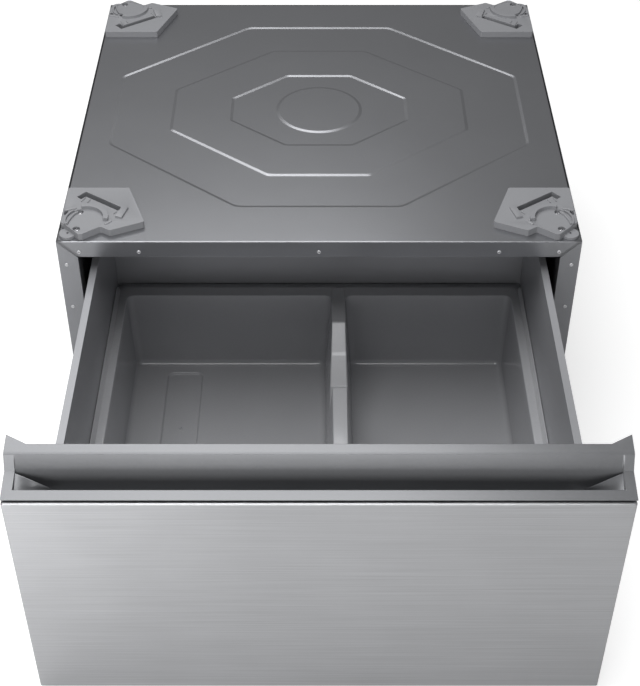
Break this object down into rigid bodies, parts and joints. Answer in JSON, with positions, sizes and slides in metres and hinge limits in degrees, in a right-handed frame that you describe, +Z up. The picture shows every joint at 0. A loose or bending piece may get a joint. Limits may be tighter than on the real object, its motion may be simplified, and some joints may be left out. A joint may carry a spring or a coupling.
{
  "type": "laundry pedestal",
  "caption": "Low painted steel pedestal for a laundry machine, with foot holders at the corners of its top, a pull-out drawer with a moulded storage bin, and levelling legs.",
  "frame": {"origin": "on the floor, under the middle of the part's box with the drawer standing open", "axes": "+X to the right seen from the front, +Y to the back, +Z up; the drawer opens towards -Y"},
  "size_m": [0.686, 1.084, 0.3774],
  "materials": {
    "grey_paint": "satin",
    "stainless": "brushed",
    "zinc_steel": "satin",
    "bright_steel": "polished",
    "trim_plastic": "satin",
    "bin_plastic": "matte",
    "holder_plastic": "matte",
    "rubber": "matte"
  },
  "bodies": {
    "cabinet": {"top_panel": "grey_paint", "left_side_panel": "grey_paint", "right_side_panel": "grey_paint", "back_panel": "grey_paint", "front_top_stiffener": "grey_paint", "front_left_post": "grey_paint", "front_right_post": "grey_paint", "rear_left_post": "grey_paint", "rear_right_post": "grey_paint", "base_front_rail": "grey_paint", "base_rear_rail": "grey_paint", "left_slide_support": "grey_paint", "right_slide_support": "grey_paint", "foot_holder_front_left": "holder_plastic", "foot_holder_front_right": "holder_plastic", "foot_holder_rear_left": "holder_plastic", "foot_holder_rear_right": "holder_plastic", "foot_holder_screws": "zinc_steel", "front_rivets": "zinc_steel", "back_panel_screws": "zinc_steel", "leg_lock_nuts": "zinc_steel", "leg_weld_nuts": "zinc_steel", "left_cabinet_rail": "zinc_steel", "right_cabinet_rail": "zinc_steel", "cabinet_rail_screws": "zinc_steel"},
    "drawer": {"left_drawer_rail": "zinc_steel", "right_drawer_rail": "zinc_steel", "drawer_rail_screws": "zinc_steel", "drawer_left_side": "grey_paint", "drawer_right_side": "grey_paint", "drawer_back": "grey_paint", "drawer_inner_panel": "grey_paint", "front_panel": "stainless", "handle_trim": "trim_plastic", "drawer_front_screws": "zinc_steel", "drawer_bumpers": "rubber", "storage_bin": "bin_plastic"},
    "left_middle_slide": {"left_middle_rail": "zinc_steel"},
    "left_outer_cage": {"left_outer_ball_cage": "zinc_steel", "left_outer_balls": "bright_steel"},
    "left_inner_cage": {"left_inner_ball_cage": "zinc_steel", "left_inner_balls": "bright_steel"},
    "right_middle_slide": {"right_middle_rail": "zinc_steel"},
    "right_outer_cage": {"right_outer_ball_cage": "zinc_steel", "right_outer_balls": "bright_steel"},
    "right_inner_cage": {"right_inner_ball_cage": "zinc_steel", "right_inner_balls": "bright_steel"},
    "pad_front_left": {"leg_pad_front_left": "rubber"},
    "stud_front_left": {"leg_stud_front_left": "zinc_steel"},
    "pad_front_right": {"leg_pad_front_right": "rubber"},
    "stud_front_right": {"leg_stud_front_right": "zinc_steel"},
    "pad_rear_left": {"leg_pad_rear_left": "rubber"},
    "stud_rear_left": {"leg_stud_rear_left": "zinc_steel"},
    "pad_rear_right": {"leg_pad_rear_right": "rubber"},
    "stud_rear_right": {"leg_stud_rear_right": "zinc_steel"}
  },
  "joints": [
    {"name": "drawer_slide", "type": "slide", "parent": "cabinet", "child": "drawer", "axis": [0, -1, 0], "range_m": [-0.368, 0.08]},
    {"name": "left_middle_slide_travel", "type": "slide", "parent": "cabinet", "child": "left_middle_slide", "axis": [0, -1, 0], "range_m": [-0.18401, 0.04001]},
    {"name": "left_outer_cage_travel", "type": "slide", "parent": "cabinet", "child": "left_outer_cage", "axis": [0, -1, 0], "range_m": [-0.09201, 0.02001]},
    {"name": "left_inner_cage_travel", "type": "slide", "parent": "cabinet", "child": "left_inner_cage", "axis": [0, -1, 0], "range_m": [-0.27601, 0.06001]},
    {"name": "right_middle_slide_travel", "type": "slide", "parent": "cabinet", "child": "right_middle_slide", "axis": [0, -1, 0], "range_m": [-0.18401, 0.04001]},
    {"name": "right_outer_cage_travel", "type": "slide", "parent": "cabinet", "child": "right_outer_cage", "axis": [0, -1, 0], "range_m": [-0.09201, 0.02001]},
    {"name": "right_inner_cage_travel", "type": "slide", "parent": "cabinet", "child": "right_inner_cage", "axis": [0, -1, 0], "range_m": [-0.27601, 0.06001]},
    {"name": "pad_front_left_lift", "type": "slide", "parent": "cabinet", "child": "pad_front_left", "axis": [0, 0, -1], "range_m": [0, 0.012]},
    {"name": "stud_front_left_turn", "type": "hinge", "parent": "pad_front_left", "child": "stud_front_left", "pos_m": [-0.298, -0.0304, 0.03], "axis": [0, 0, -1], "range_deg": [0, 2882]},
    {"name": "pad_front_right_lift", "type": "slide", "parent": "cabinet", "child": "pad_front_right", "axis": [0, 0, -1], "range_m": [0, 0.012]},
    {"name": "stud_front_right_turn", "type": "hinge", "parent": "pad_front_right", "child": "stud_front_right", "pos_m": [0.298, -0.0304, 0.03], "axis": [0, 0, -1], "range_deg": [0, 2882]},
    {"name": "pad_rear_left_lift", "type": "slide", "parent": "cabinet", "child": "pad_rear_left", "axis": [0, 0, -1], "range_m": [0, 0.012]},
    {"name": "stud_rear_left_turn", "type": "hinge", "parent": "pad_rear_left", "child": "stud_rear_left", "pos_m": [-0.298, 0.4674, 0.03], "axis": [0, 0, -1], "range_deg": [0, 2882]},
    {"name": "pad_rear_right_lift", "type": "slide", "parent": "cabinet", "child": "pad_rear_right", "axis": [0, 0, -1], "range_m": [0, 0.012]},
    {"name": "stud_rear_right_turn", "type": "hinge", "parent": "pad_rear_right", "child": "stud_rear_right", "pos_m": [0.298, 0.4674, 0.03], "axis": [0, 0, -1], "range_deg": [0, 2882]}
  ],
  "couplings": [
    {"joint": "left_middle_slide_travel", "follows": "drawer_slide", "ratio": 0.5},
    {"joint": "left_outer_cage_travel", "follows": "drawer_slide", "ratio": 0.25},
    {"joint": "left_inner_cage_travel", "follows": "drawer_slide", "ratio": 0.75},
    {"joint": "right_middle_slide_travel", "follows": "drawer_slide", "ratio": 0.5},
    {"joint": "right_outer_cage_travel", "follows": "drawer_slide", "ratio": 0.25},
    {"joint": "right_inner_cage_travel", "follows": "drawer_slide", "ratio": 0.75},
    {"joint": "stud_front_left_turn", "follows": "pad_front_left_lift", "rad_per_m": 4188.8},
    {"joint": "stud_front_right_turn", "follows": "pad_front_right_lift", "rad_per_m": 4188.8},
    {"joint": "stud_rear_left_turn", "follows": "pad_rear_left_lift", "rad_per_m": 4188.8},
    {"joint": "stud_rear_right_turn", "follows": "pad_rear_right_lift", "rad_per_m": 4188.8}
  ]
}
